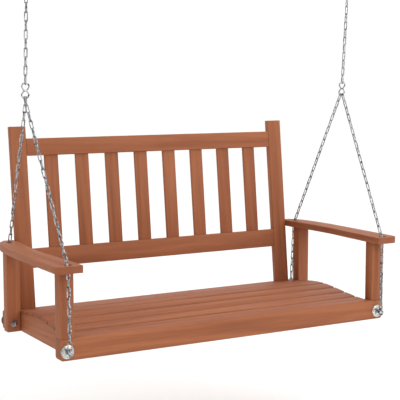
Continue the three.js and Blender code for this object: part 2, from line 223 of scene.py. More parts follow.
def join(name: str, pieces: Sequence[bpy.types.Object]) -> bpy.types.Object:
    """Joins pieces into one object."""
    only(pieces[0])
    for piece in pieces[1:]:
        piece.select_set(True)
    bpy.ops.object.join()
    pieces[0].name = name
    return pieces[0]


def copy_of(piece: bpy.types.Object, name: str, place: Matrix) -> bpy.types.Object:
    """Copies a piece with its own mesh, moved by a matrix."""
    twin = piece.copy()
    twin.data = piece.data.copy()
    twin.name = twin.data.name = name
    bpy.context.scene.collection.objects.link(twin)
    twin.data.transform(place)
    return twin


def discard(piece: bpy.types.Object) -> None:
    """Clears away a pattern piece once its copies are made."""
    mesh = piece.data
    bpy.data.objects.remove(piece)
    bpy.data.meshes.remove(mesh)


# ------------------------------------------------------------------ finishes


def linear(colour: str) -> tuple[float, float, float, float]:
    """An sRGB hex colour as linear red, green, blue and alpha."""
    parts = [int(colour[i:i + 2], 16) / 255 for i in (1, 3, 5)]
    lit = [c / 12.92 if c <= 0.04045 else ((c + 0.055) / 1.055) ** 2.4 for c in parts]
    return (*lit, 1.0)


def add_node(material: bpy.types.Material, kind: str, inputs: dict | None = None,
             stops: Sequence[tuple[float, tuple]] = (), **settings: object) -> bpy.types.Node:
    """Adds a shader node with its settings and links.

    Args:
        material: the material that gets the node.
        kind: the node's type name.
        inputs: values or other nodes' output sockets, by input name or number.
        stops: a colour ramp's positions and colours.
        **settings: the node's own properties.

    Returns:
        The new node.
    """
    node = material.node_tree.nodes.new(kind)
    for name, value in settings.items():
        setattr(node, name, value)
    for place, value in (inputs or {}).items():
        if isinstance(value, bpy.types.NodeSocket):
            material.node_tree.links.new(value, node.inputs[place])
        else:
            node.inputs[place].default_value = value
    for index, (position, colour) in enumerate(stops):
        elements = node.color_ramp.elements
        element = elements[index] if index < 2 else elements.new(position)
        element.position, element.color = position, colour
    return node


def blank_material(name: str) -> bpy.types.Material:
    """A material with an empty node tree."""
    material = bpy.data.materials.new(name)
    material.use_nodes = True
    material.node_tree.nodes.clear()
    return material


def surface(material: bpy.types.Material, shader: bpy.types.Node) -> bpy.types.Material:
    """Gives a material its output and returns it."""
    add_node(material, "ShaderNodeOutputMaterial", {"Surface": shader.outputs["BSDF"]})
    return material


class Grain(Enum):
    """The way a board's grain runs, in the square frame of its group."""

    ACROSS = (1, 0, 0)
    DEEP = (0, 1, 0)
    UP = (0, 0, 1)


@dataclass(frozen=True)
class StainedSoftwood:
    """Planed fir with a reddish-brown garden stain, wiped on and sealed to a low sheen."""

    dark: str = "#80462A"
    body: str = "#9A5935"
    light: str = "#A96742"
    ring_mm: float = 9.0  # growth rings are 2 to 4 mm apart, and drawn coarser to show
    figure_mm: float = 26.0  # width of the tone patches in flat-sawn fir
    pore_mm: float = 2.4  # the fine streaks, drawn coarser to show
    stretch: float = 0.045  # a streak's width over its length
    roughness: float = 0.60

    def material(self, grain: Grain, tilt: Tilt) -> bpy.types.Material:
        """Builds the stain for boards whose grain runs one way in one group.

        Args:
            grain: the direction of the grain.
            tilt: the lean of the boards' group.

        Returns:
            The material, which reads each board's own "board" attribute.
        """
        m = blank_material(f"stained_fir_{grain.name.lower()}_{tilt.degrees:.1f}")
        scale = [self.stretch if along else 1.0 for along in grain.value]
        spot = add_node(m, "ShaderNodeTexCoord")
        square = add_node(m, "ShaderNodeMapping", {
            "Vector": spot.outputs["Object"], "Rotation": (math.radians(tilt.degrees), 0, 0)})
        # Each board is cut from another part of the log
        board = add_node(m, "ShaderNodeAttribute", attribute_name="board")
        offcut = add_node(m, "ShaderNodeVectorMath", {
            0: board.outputs["Vector"], 1: (1.9, 1.3, 2.3)}, operation="MULTIPLY")
        shifted = add_node(m, "ShaderNodeVectorMath", {
            0: square.outputs["Vector"], 1: offcut.outputs["Vector"]}, operation="ADD")
        streaked = add_node(m, "ShaderNodeMapping", {
            "Vector": shifted.outputs["Vector"], "Scale": scale})
        figure = add_node(m, "ShaderNodeTexNoise", {
            "Vector": streaked.outputs["Vector"], "Scale": 1 / (self.figure_mm * MM),
            "Detail": 4.0, "Roughness": 0.55, "Distortion": 0.4})
        rings = add_node(m, "ShaderNodeTexWave", {
            "Vector": streaked.outputs["Vector"], "Scale": 0.314 / (self.ring_mm * MM),
            "Distortion": 5.5, "Detail": 2.0, "Detail Scale": 0.35, "Detail Roughness": 0.5},
            wave_type="BANDS", bands_direction="DIAGONAL", wave_profile="SAW")
        pores = add_node(m, "ShaderNodeTexNoise", {
            "Vector": streaked.outputs["Vector"], "Scale": 1 / (self.pore_mm * MM),
            "Detail": 3.0, "Roughness": 0.6})
        tone = add_node(m, "ShaderNodeValToRGB", {"Fac": figure.outputs["Fac"]}, stops=(
            (0.22, linear(self.dark)), (0.74, linear(self.light)), (0.47, linear(self.body))))
        # Late wood takes the stain darker, in a soft-edged line per ring
        late = add_node(m, "ShaderNodeMapRange", {
            "Value": rings.outputs["Fac"], 1: 0.35, 2: 1.0, 3: 0.0, 4: 0.20})
        ringed = add_node(m, "ShaderNodeMix", {
            "Factor": late.outputs[0], "A": tone.outputs["Color"], "B": linear(self.dark)},
            data_type="RGBA")
        streak = add_node(m, "ShaderNodeMapRange", {
            "Value": pores.outputs["Fac"], 1: 0.50, 2: 0.78, 3: 0.0, 4: 0.24})
        pored = add_node(m, "ShaderNodeMix", {
            "Factor": streak.outputs[0], "A": ringed.outputs["Result"], "B": linear(self.dark)},
            data_type="RGBA")
        # Boards differ a little in tone from one to the next
        batch = add_node(m, "ShaderNodeMapRange", {
            "Value": board.outputs["Fac"], 1: 0.0, 2: 1.0, 3: 0.95, 4: 1.05})
        toned = add_node(m, "ShaderNodeHueSaturation", {
            "Color": pored.outputs["Result"], "Value": batch.outputs[0]})
        # End grain drinks more stain and ends up darker and flatter
        facing = add_node(m, "ShaderNodeMapping", {
            "Vector": spot.outputs["Normal"], "Rotation": (math.radians(tilt.degrees), 0, 0)})
        along = add_node(m, "ShaderNodeVectorMath", {
            0: facing.outputs["Vector"], 1: grain.value}, operation="DOT_PRODUCT")
        off = add_node(m, "ShaderNodeMath", {0: along.outputs["Value"]}, operation="ABSOLUTE")
        end = add_node(m, "ShaderNodeMapRange", {
            "Value": off.outputs[0], 1: 0.72, 2: 0.98, 3: 0.0, 4: 0.55})
        ended = add_node(m, "ShaderNodeMix", {
            "Factor": end.outputs[0], "A": toned.outputs["Color"], "B": linear(self.dark)},
            data_type="RGBA")
        sheen = add_node(m, "ShaderNodeMapRange", {
            "Value": pores.outputs["Fac"], 1: 0.2, 2: 0.8,
            3: self.roughness - 0.07, 4: self.roughness + 0.12})
        relief = add_node(m, "ShaderNodeMath", {
            0: pores.outputs["Fac"], 1: rings.outputs["Fac"]}, operation="ADD")
        bump = add_node(m, "ShaderNodeBump", {
            "Strength": 0.16, "Distance": 0.0006, "Height": relief.outputs[0]})
        return surface(m, add_node(m, "ShaderNodeBsdfPrincipled", {
            "Base Color": ended.outputs["Result"], "Roughness": sheen.outputs[0],
            "Normal": bump.outputs["Normal"], "IOR": 1.42}))


@dataclass(frozen=True)
class ZincPlate:
    """Bright zinc plate on steel: silvery, clouded, and dulled where it is handled; on the wire the
    clouds are so strong that they are painted highlights and painted shade between the links.
    """

    name: str
    bright: str = "#BDC0C3"
    # The dark end of the mottle; on the wire it is painted shade and painted dark reflection.
    dark_mottle_and_painted_shade: str = "#4C4F52"
    cloud_mm: float = 5.0  # the plate's mottling, and on the wire the size of its painted highlights and painted shade
    roughness: float = 0.30
    grit_mm: float = 0.8  # tumbled surface, drawn coarser to show

    def material(self) -> bpy.types.Material:
        """Builds the plating."""
        m = blank_material(self.name)
        spot = add_node(m, "ShaderNodeTexCoord")
        clouds = add_node(m, "ShaderNodeTexNoise", {
            "Vector": spot.outputs["Object"], "Scale": 1 / (self.cloud_mm * MM),
            "Detail": 4.0, "Roughness": 0.6})
        grit = add_node(m, "ShaderNodeTexNoise", {
            "Vector": spot.outputs["Object"], "Scale": 1 / (self.grit_mm * MM), "Detail": 2.0})
        # Mottled plate tone; on the wire the wide spread from near black to near white is painted
        # shade and painted highlight.
        tone = add_node(m, "ShaderNodeValToRGB", {"Fac": clouds.outputs["Fac"]}, stops=(
            (0.34, linear(self.dark_mottle_and_painted_shade)), (0.58, linear(self.bright))))
        dulled = add_node(m, "ShaderNodeMapRange", {
            "Value": clouds.outputs["Fac"], 1: 0.3, 2: 0.7,
            3: self.roughness + 0.12, 4: self.roughness - 0.06})
        bump = add_node(m, "ShaderNodeBump", {
            "Strength": 0.12, "Distance": 0.0002, "Height": grit.outputs["Fac"]})
        return surface(m, add_node(m, "ShaderNodeBsdfPrincipled", {
            "Base Color": tone.outputs["Color"], "Metallic": 1.0,
            "Roughness": dulled.outputs[0], "Normal": bump.outputs["Normal"]}))


@dataclass(frozen=True)
class PaleFloor:
    """Matt off-white studio floor paint, rolled on: a faint even stipple."""

    colour: str = "#FBFBFA"
    stipple_mm: float = 6.0

    def material(self) -> bpy.types.Material:
        """Builds the floor paint."""
        m = blank_material("rolled_matt_floor_paint")
        spot = add_node(m, "ShaderNodeTexCoord")
        stipple = add_node(m, "ShaderNodeTexNoise", {
            "Vector": spot.outputs["Object"], "Scale": 1 / (self.stipple_mm * MM)})
        bump = add_node(m, "ShaderNodeBump", {
            "Strength": 0.05, "Distance": 0.0005, "Height": stipple.outputs["Fac"]})
        return surface(m, add_node(m, "ShaderNodeBsdfPrincipled", {
            "Base Color": linear(self.colour), "Roughness": 0.9,
            "Normal": bump.outputs["Normal"]}))


class Finishes:
    """The swing's finishes, each built once and shared."""

    def __init__(self) -> None:
        """Builds the metal finishes; a timber finish is built when first asked for."""
        self.timber: dict[tuple[Grain, float], bpy.types.Material] = {}
        # The wire's near-black and near-white clouds at link size are painted shade, painted dark
        # reflection and painted highlight.
        self.wire = ZincPlate(
            "zinc_plated_wire", bright="#BFC2C5", dark_mottle_and_painted_shade="#2E3033", cloud_mm=9.0,
            roughness=0.22).material()
        self.pressing = ZincPlate(
            "zinc_plated_pressing", bright="#D2D3D0", dark_mottle_and_painted_shade="#8F918F", roughness=0.24).material()
        self.fastener = ZincPlate(
            "zinc_plated_fastener", bright="#A2A4A4", dark_mottle_and_painted_shade="#6A6B6C", roughness=0.34).material()

    def stain(self, grain: Grain, tilt: Tilt) -> bpy.types.Material:
        """The stain for a direction of grain in a group of boards."""
        key = (grain, round(tilt.degrees, 1))
        if key not in self.timber:
            self.timber[key] = StainedSoftwood().material(grain, tilt)
        return self.timber[key]


def hand_over(piece: bpy.types.Object, material: bpy.types.Material, slot: str, body: str,
              *nodes: str) -> bpy.types.Object:
    """Dresses a finished piece and gives it to the frame.

    Args:
        piece: the finished piece, in its place.
        material: its finish.
        slot: the record's material slot; not used.
        body: the body it rides on.
        *nodes: the CAD nodes that it stands for.

    Returns:
        The piece.
    """
    piece.data.materials.clear()
    piece.data.materials.append(material)
    if nodes:
        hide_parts(*nodes)
    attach(piece, body)
    log.info("%s: %d faces, rides on %s", piece.name, len(piece.data.polygons), body)
    return piece


# ------------------------------------------------------------------ boards


@dataclass
class Board:
    """A squared board with eased edges, cut to its CAD node's size.

    Attributes:
        node: the CAD node that it replaces.
        tilt: the frame in which it is square.
        grain: the way its grain runs.
        eased: radius of its edges along the grain.
        ends: radius of the edges round its sawn ends.
        toe: radius of the two lower corners of its face, or 0.
        bores: axis, middle, radius of each bore, in the square frame.
    """

    node: str
    tilt: Tilt
    grain: Grain
    eased: float = 3.5 * MM
    ends: float = 0.8 * MM
    toe: float = 0.0
    bores: Sequence[tuple[str, Vector, float]] = ()

    def blank(self) -> bpy.types.Object:
        """Saws the board square, rounds its toes and bores it."""
        low, high = self.tilt.box(self.node)
        piece = block(f"{self.node}_board", low, high)
        if self.toe:
            middle = (low + high) / 2
            pick(piece, "EDGE", lambda ends: all(
                p.z < middle.z and abs(p.x - middle.x) > 0.4 * (high.x - low.x) for p in ends)
                and abs(ends[0].x - ends[1].x) < 1e-6)
            bpy.ops.mesh.bevel(offset=self.toe, segments=8, affect="EDGES")
            done()
        reach = max(high - low) + 0.1
        return combine(piece, [
            drum("bore", spot, radius, reach, axis) for axis, spot, radius in self.bores])

    def ease(self, piece: bpy.types.Object) -> None:
        """Rounds the edges along the grain, and lightly those across it."""
        grain = Vector(self.grain.value)
        pick(piece, "EDGE", lambda ends: abs((ends[1] - ends[0]).normalized().dot(grain)) > 0.999
             and (ends[1] - ends[0]).length > 0.03)
        bpy.ops.mesh.bevel(offset=self.eased, segments=3, affect="EDGES")
        done()
        ease_edges(piece, self.ends, 2)

    def make(self, finishes: Finishes, dice: random.Random) -> bpy.types.Object:
        """Shapes, leans and stains the board.

        Args:
            finishes: the shared finishes.
            dice: the seeded source of the boards' differences.

        Returns:
            The finished piece.
        """
        piece = self.blank()
        self.ease(piece)
        self.tilt.settle(piece)
        stamp = piece.data.attributes.new("board", "FLOAT_VECTOR", "POINT")
        mark = [dice.random() for _ in range(3)]
        stamp.data.foreach_set("vector", mark * len(piece.data.vertices))
        stain = finishes.stain(self.grain, self.tilt)
        return hand_over(piece, stain, "timber", "bench", self.node)


@dataclass
class Rail(Board):
    """A squared board whose edges are all eased alike, round its two lower toes too."""

    def ease(self, piece: bpy.types.Object) -> None:
        """Rounds every edge by one radius."""
        ease_edges(piece, self.eased)


@dataclass
class SawnToPattern(Rail):
    """A board whose outline is band-sawn to a pattern, taken from its CAD solid."""

    def blank(self) -> bpy.types.Object:
        """Copies the CAD solid, merges its loose triangles and clears needless edges."""
        piece = copy_of(
            frame["nodes"][self.node], f"{self.node}_board", self.tilt.to_frame().inverted())
        piece.parent = None
        for key in list(piece.keys()):
            del piece[key]
        piece.hide_render = False
        only(piece)
        bpy.ops.object.mode_set(mode="EDIT")
        bpy.ops.mesh.select_all(action="SELECT")
        bpy.ops.mesh.remove_doubles(threshold=1e-5)
        bpy.ops.mesh.dissolve_limited(angle_limit=math.radians(0.5))
        done()
        return piece


@dataclass
class Timberwork:
    """Every board of the bench: seat frame, slats, posts, armrests and back."""

    finishes: Finishes
    bolt_bore: float = 4.4 * MM
    front_toe: float = 11 * MM
    rear_toe: float = 9 * MM
    seat_slats: int = 7
    back_slats: int = 8
    dice: random.Random = field(default_factory=lambda: random.Random(11))

    def bolt_spots(self, end: str) -> list[tuple[str, Vector, float]]:
        """The bores for the two eyebolts at the front or the rear."""
        spots = []
        for side in SIDES:
            low, high = SEAT.box(f"{side}_{end}_eyebolt")
            spots.append(("Y", (low + high) / 2, self.bolt_bore))
        return spots

    def boards(self) -> list[Board]:
        """Lists the boards, from the seat frame up."""
        front, rear = self.bolt_spots("front"), self.bolt_spots("rear")
        boards = [
            Rail("front_rail", SEAT, Grain.ACROSS, toe=self.front_toe, bores=front,
                 eased=2.5 * MM),
            Rail("rear_rail", SEAT, Grain.ACROSS, toe=self.rear_toe, bores=rear, eased=2.5 * MM),
            SawnToPattern("middle_bearer", SEAT, Grain.DEEP, eased=0.8 * MM),
        ]
        for index in range(1, self.seat_slats + 1):
            node = f"seat_slat_{index}"
            boards.append(Board(node, SEAT.along_section(node), Grain.ACROSS, eased=5 * MM))
        for number, side in enumerate(SIDES):
            boards += [
                SawnToPattern(f"{side}_side_rail", SEAT, Grain.DEEP, eased=0.8 * MM),
                Board(f"{side}_front_post", SEAT, Grain.UP, eased=3.5 * MM),
                Board(f"{side}_rear_post", SEAT, Grain.UP, eased=3.5 * MM, bores=[rear[number]]),
                SawnToPattern(f"{side}_armrest", SEAT, Grain.DEEP, eased=3 * MM),
                Board(f"{side}_back_stile", BACK, Grain.UP, eased=3 * MM),
            ]
        boards += [
            Board("back_top_rail", BACK, Grain.ACROSS, eased=3 * MM),
            Board("back_lower_rail", BACK, Grain.ACROSS, eased=3 * MM),
        ]
        boards += [
            Board(f"back_slat_{index}", BACK, Grain.UP, eased=2 * MM)
            for index in range(1, self.back_slats + 1)
        ]
        return boards

    def build(self) -> None:
        """Makes every board."""
        for board in self.boards():
            board.make(self.finishes, self.dice)


# ------------------------------------------------------------------ chains


@dataclass
class Chainwork:
    """Welded straight-link chain, from the ceiling's hooks down to the eyebolts."""

    finishes: Finishes
    wire: float = 2.0 * MM
    half_width: float = 4.6 * MM  # to the middle of the wire
    eye_half_width: float = 5.6 * MM  # of the last link, which passes the eyebolt's thicker wire
    pitch: float = 27 * MM
    steps: int = 12
    sides: int = 6
    front_hole: Vector = field(default_factory=lambda: Vector((-0.020, -0.020, 0)))
    rear_hole: Vector = field(default_factory=lambda: Vector((-0.030, 0.017, 0)))

    def link(self, pitch: float, half_width: float) -> bpy.types.Object:
        """Bends one link: a ring drawn out lengthways, along X and flat in XY.

        Args:
            pitch: the link's inner length.
            half_width: from the link's middle to the middle of its wire.

        Returns:
            The pattern link, centred on the origin.
        """
        bpy.ops.mesh.primitive_torus_add(
            major_radius=half_width, minor_radius=self.wire, major_segments=self.steps,
            minor_segments=self.sides, rotation=(0, 0, math.pi / self.steps))
        link = named("chain_link_pattern")
        draw = pitch / 2 + self.wire - half_width
        for sign in (-1, 1):
            pick(link, "VERT", lambda corner: corner[0].x * sign > 0)
            bpy.ops.transform.translate(value=(sign * draw, 0, 0))
            done()
        bpy.ops.object.shade_smooth()
        return link

    def string(self, name: str, path: Sequence[Vector], last_half_width: float,
               ) -> bpy.types.Object:
        """Threads an even number of links along a taut path.

        Args:
            name: the chain's name.
            path: from the middle of the first link's far wire to that of the last.
            last_half_width: of the last link, to the middle of its wire.

        Returns:
            The chain as one piece.
        """
        legs = [(b - a).length for a, b in zip(path, path[1:])]
        span = sum(legs) - 2 * self.wire
        count = 2 * round(span / self.pitch / 2)
        pitch = span / count

        def at(distance: float) -> Vector:
            """The point some way along the path."""
            for start, stop, leg in zip(path, path[1:], legs):
                if distance <= leg or stop is path[-1]:
                    return start.lerp(stop, distance / leg)
                distance -= leg
            return path[-1]

        pattern, last = self.link(pitch, self.half_width), self.link(pitch, last_half_width)
        links = []
        for index in range(count):
            start = at(index * pitch)
            stop = at((index + 1) * pitch + 2 * self.wire)
            along = (stop - start).normalized()
            flat = along.cross(Vector((1, 0, 0))).normalized()
            if index % 2:
                flat = along.cross(flat).normalized()
            turn = Matrix((along, flat, along.cross(flat))).transposed().to_4x4()
            place = Matrix.Translation((start + stop) / 2) @ turn
            shape = last if index == count - 1 else pattern
            links.append(copy_of(shape, f"{name}_link", place))
        discard(pattern)
        discard(last)
        log.info("%s: %d links, %.0f mm taut", name, count, span / MM)
        return join(name, links)

    def lower(self, side: str, end: str) -> None:
        """Hangs one of the bench's four chains, through its hole in the armrest."""
        node = f"{side}_{end}_chain"
        low, high = SEAT.box(node)
        sign = SIDES[side]
        rail_low, rail_high = SEAT.box("front_rail")
        arm_low, arm_high = SEAT.box(f"{side}_armrest")
        eye_low, eye_high = SEAT.box(f"{side}_{end}_eyebolt")
        bolt_x = (eye_low.x + eye_high.x) / 2
        if end == "front":
            hole, from_y, eye_y = self.front_hole, rail_low.y, eye_low.y + Eyebolts.reach
        else:
            hole, from_y = self.rear_hole, SEAT.box("rear_rail")[0].y
            eye_y = eye_high.y - Eyebolts.reach
        head_x = PLUMB.box(f"{side}_connecting_link")
        head_x = (head_x[0].x + head_x[1].x) / 2 + sign * (3.2 if end == "front" else -3.2) * MM
        path = [
            Vector((head_x, PITCH_PIVOT.y, high.z - self.wire)),
            Vector((sign * (rail_high.x + hole.x), from_y + hole.y, (arm_low.z + arm_high.z) / 2)),
            Vector((bolt_x, eye_y, low.z + self.wire)),
        ]
        piece = self.string(f"{node}_links", path, self.eye_half_width)
        SEAT.settle(piece)
        hand_over(piece, self.finishes.wire, "zinc_steel", "bench", node)

    def upper(self, side: str) -> None:
        """Hangs the chain between a side's S-hook and its connecting link."""
        node = f"{side}_upper_chain"
        low, high = PLUMB.box(node)
        x = (low.x + high.x) / 2
        path = [Vector((x, 0, low.z + self.wire)), Vector((x, 0, high.z - self.wire))]
        piece = self.string(f"{node}_links", path, self.half_width)
        hand_over(piece, self.finishes.wire, "zinc_steel", node, node)

    def connecting_link(self, side: str) -> None:
        """Bends the figure-eight link that gathers a side's two lower chains."""
        node = f"{side}_connecting_link"
        low, high = PLUMB.box(node)
        wire = 2.5 * MM
        x, radius = (low.x + high.x) / 2, (high.z - low.z - 2 * wire) / 4
        middle = (low.z + high.z) / 2
        loops = [
            ring(f"{node}_eight", Vector((x, 0, middle + sign * radius)), radius, wire, "Y", 28, 10)
            for sign in (-1, 1)
        ]
        for loop, sign in zip(loops, (-1, 1)):
            # the waist is pinched where the wire crosses
            pick(loop, "VERT", lambda corner: abs(corner[0].z - middle) < 0.75 * radius)
            bpy.ops.transform.resize(value=(0.82, 1, 1), center_override=(x, 0, middle))
            done()
        piece = combine(loops[0], loops[1:], "UNION")
        only(piece)
        bpy.ops.object.shade_smooth_by_angle(angle=math.radians(50))
        hand_over(piece, self.finishes.wire, "zinc_steel", "connecting_links", node)

    def build(self) -> None:
        """Hangs every chain."""
        for side in SIDES:
            for end in ("front", "rear"):
                self.lower(side, end)
            self.connecting_link(side)
            self.upper(side)


# ------------------------------------------------------------------ hardware


@dataclass
class Eyebolts:
    """The bench's four eyebolts, each with a dished washer, a small washer and a dome nut."""

    finishes: Finishes
    eye: float = 10 * MM
    wire: float = 3.2 * MM
    shank: float = 4 * MM
    bore: float = 4.4 * MM
    dome: float = 6.4 * MM
    hex_height: float = 7 * MM
    reach = 13.2 * MM  # from the eye's outer edge to its middle

    def bolt(self, node: str, outward: int) -> bpy.types.Object:
        """Forges an eyebolt: an eye closed on a collared shank.

        Args:
            node: the CAD node that it replaces.
            outward: -1 at the front and 1 at the rear.

        Returns:
            The piece, still square.
        """
        low, high = SEAT.box(node)
        x, z = (low.x + high.x) / 2, (low.z + high.z) / 2
        eye_y = (low.y + self.reach) if outward < 0 else (high.y - self.reach)
        tip_y = high.y if outward < 0 else low.y
        root_y = eye_y - outward * self.eye
        eye = ring(f"{node}_forged", Vector((x, eye_y, z)), self.eye, self.wire, "X", 32, 12)
        shank = drum("shank", Vector((x, (root_y + tip_y) / 2, z)), self.shank,
                     abs(tip_y - root_y), "Y", 20)
        collar = drum("collar", Vector((x, root_y - outward * 4.6 * MM, z)),
                      self.shank + 2.2 * MM, 3 * MM, "Y", 20)
        pick(collar, "EDGE", lambda ends: abs(ends[0].y - ends[1].y) < 1e-6)
        bpy.ops.mesh.bevel(offset=0.9 * MM, segments=2, affect="EDGES")
        done()
        piece = combine(eye, [shank, collar], "UNION")
        only(piece)
        bpy.ops.object.shade_smooth_by_angle(angle=math.radians(40))
        return piece

    def washer(self, node: str, outward: int, dish: float) -> bpy.types.Object:
        """Presses a washer, dished towards the eye.

        Args:
            node: the CAD node that it replaces.
            outward: -1 where the washer faces the front and 1 where it faces the rear.
            dish: how far the middle stands proud of the rim.

        Returns:
            The piece, still square.
        """
        low, high = SEAT.box(node)
        middle = (low + high) / 2
        radius, thick = (high.x - low.x) / 2, high.y - low.y
        piece = drum(f"{node}_pressed", middle, radius, thick, "Y", 48)
        face_y = middle.y + outward * thick / 2
        rim = radius - self.bore
        pick(piece, "FACE", lambda corners: all(abs(p.y - face_y) < 1e-6 for p in corners))
        for share, rise in ((0.12, 0.25), (0.30, 0.55), (0.28, 0.20)):
            bpy.ops.mesh.inset(thickness=share * rim)
            bpy.ops.transform.translate(value=(0, outward * rise * dish, 0))
        done()
        combine(piece, [drum("bore", middle, self.bore, 20 * MM, "Y", 24)])
        only(piece)
        bpy.ops.object.shade_smooth_by_angle(angle=math.radians(30))
        return piece

    def dome_nut(self, node: str, outward: int) -> bpy.types.Object:
        """Turns a dome nut: a chamfered hexagon closed by a dome.

        Args:
            node: the CAD node that it replaces.
            outward: the way its dome points along Y.

        Returns:
            The piece, still square.
        """
        low, high = SEAT.box(node)
        x, z = (low.x + high.x) / 2, (low.z + high.z) / 2
        foot_y = low.y if outward > 0 else high.y
        corner = (high.x - low.x) / 2 / (1 if high.x - low.x > high.z - low.z else 0.866)
        hexagon = drum(f"{node}_turned", Vector((x, foot_y + outward * self.hex_height / 2, z)),
                       corner, self.hex_height, "Y", 6)
        ease_edges(hexagon, 0.7 * MM, 2)
        bpy.ops.mesh.primitive_uv_sphere_add(
            segments=24, ring_count=12, radius=self.dome,
            location=(x, foot_y + outward * self.hex_height, z), rotation=(math.pi / 2, 0, 0))
        piece = combine(hexagon, [named("dome")], "UNION")
        only(piece)
        bpy.ops.object.shade_smooth_by_angle(angle=math.radians(32))
        return piece

    def build(self) -> None:
        """Fits the bolts, washers and nuts."""
        for side in SIDES:
            for end, outward in (("front", -1), ("rear", 1)):
                place = f"{side}_{end}"
                fitted = [
                    (self.bolt(f"{place}_eyebolt", outward), self.finishes.wire, "eyebolt"),
                    (self.washer(f"{place}_outer_washer", outward, 3.2 * MM),
                     self.finishes.pressing, "outer_washer"),
                    (self.washer(f"{place}_inner_washer", -outward, 0.3 * MM),
                     self.finishes.fastener, "inner_washer"),
                    (self.dome_nut(f"{place}_cap_nut", -outward), self.finishes.fastener,
                     "cap_nut"),
                ]
                for piece, finish, kind in fitted:
                    SEAT.settle(piece)
                    hand_over(piece, finish, "zinc_steel", "bench", f"{place}_{kind}")


@dataclass
class CeilingFittings:
    """What the upper chains hang from: an S-hook on a ringed plate, at either side."""

    finishes: Finishes
    bend: float = 9 * MM
    hook_wire: float = 2.5 * MM
    tip_degrees: float = 205
    ring_radius: float = 11 * MM
    ring_wire: float = 3 * MM
    plate_corner: float = 8 * MM
    hole: float = 2.8 * MM
    hole_inset: float = 9 * MM

    def s_hook(self, side: str) -> None:
        """Bends an S-hook from round wire: a disc spun round one bend and then the other."""
        node = f"{side}_s_hook"
        low, high = PLUMB.box(node)
        x = (low.x + high.x) / 2
        lower = Vector((x, 0, low.z + self.hook_wire + self.bend))
        upper = Vector((x, 0, high.z - self.hook_wire - self.bend))
        waist = (lower + upper) / 2
        bpy.ops.mesh.primitive_circle_add(
            vertices=12, radius=self.hook_wire, fill_type="NGON", location=waist,
            rotation=(math.pi / 2, 0, 0))
        piece = named(f"{node}_bent")
        turn = math.radians(self.tip_degrees + 90)
        bends = []
        for centre, way in ((upper, 1), (lower, 1)):
            arm = copy_of(piece, "bend", Matrix.Identity(4))
            pick(arm, "FACE", lambda corners: True)
            bpy.ops.mesh.spin(steps=24, angle=way * turn, center=centre, axis=(1, 0, 0))
            bpy.ops.mesh.select_all(action="SELECT")
            bpy.ops.mesh.remove_doubles(threshold=1e-6)
            bpy.ops.mesh.normals_make_consistent(inside=False)
            done()
            bends.append(arm)
        discard(piece)
        hook = join(f"{node}_bent", bends)
        pick(hook, "FACE", lambda corners: all((p - waist).length < 1.02 * self.hook_wire
                                               and abs(p.z - waist.z) < 1e-5 for p in corners))
        bpy.ops.mesh.delete(type="FACE")
        bpy.ops.mesh.select_all(action="SELECT")
        bpy.ops.mesh.remove_doubles(threshold=1e-5)
        bpy.ops.mesh.normals_make_consistent(inside=False)
        done()
        bpy.ops.object.shade_smooth_by_angle(angle=math.radians(50))
        hand_over(hook, self.finishes.wire, "zinc_steel", "hangers", node)

    def plate(self, side: str) -> None:
        """Presses a ceiling plate, welds its ring on and drives its four screws."""
        node = f"{side}_ceiling_plate"
        low, high = PLUMB.box(node)
        x, thick = (low.x + high.x) / 2, 4 * MM
        piece = block(f"{node}_pressed", Vector((low.x, low.y, high.z - thick)), high)
        pick(piece, "EDGE", lambda ends: abs(ends[0].z - ends[1].z) > 1e-4)
        bpy.ops.mesh.bevel(offset=self.plate_corner, segments=6, affect="EDGES")
        done()
        spots = [
            Vector((x + sx * ((high.x - low.x) / 2 - self.hole_inset),
                    sy * ((high.y - low.y) / 2 - self.hole_inset), high.z - thick))
            for sx in (-1, 1) for sy in (-1, 1)
        ]
        combine(piece, [drum("hole", spot, self.hole, 20 * MM, "Z", 20) for spot in spots])
        ease_edges(piece, 0.6 * MM, 2)
        eye = ring("eye", Vector((x, 0, low.z + self.ring_wire + self.ring_radius)),
                   self.ring_radius, self.ring_wire, "Y")
        weld = drum("weld", Vector((x, 0, high.z - thick - 1.2 * MM)), 6.5 * MM, 4 * MM, "Z", 24)
        pick(weld, "EDGE", lambda ends: all(p.z < high.z - thick - 2 * MM for p in ends))
        bpy.ops.mesh.bevel(offset=2 * MM, segments=3, affect="EDGES")
        done()
        combine(piece, [weld, eye], "UNION")
        only(piece)
        bpy.ops.object.shade_smooth_by_angle(angle=math.radians(32))
        hand_over(piece, self.finishes.pressing, "zinc_steel", "ceiling_plates", node)
        screws = Screws(self.finishes)
        for number, spot in enumerate(spots, 1):
            down = Matrix.Translation(spot) @ Matrix.Rotation(math.pi, 4, "X")
            screws.drive(f"{side}_ceiling_screw_{number}", down, PLUMB, "ceiling_plates")
        screws.put_away()

    def build(self) -> None:
        """Hangs both sides' fittings."""
        for side in SIDES:
            self.plate(side)
            self.s_hook(side)


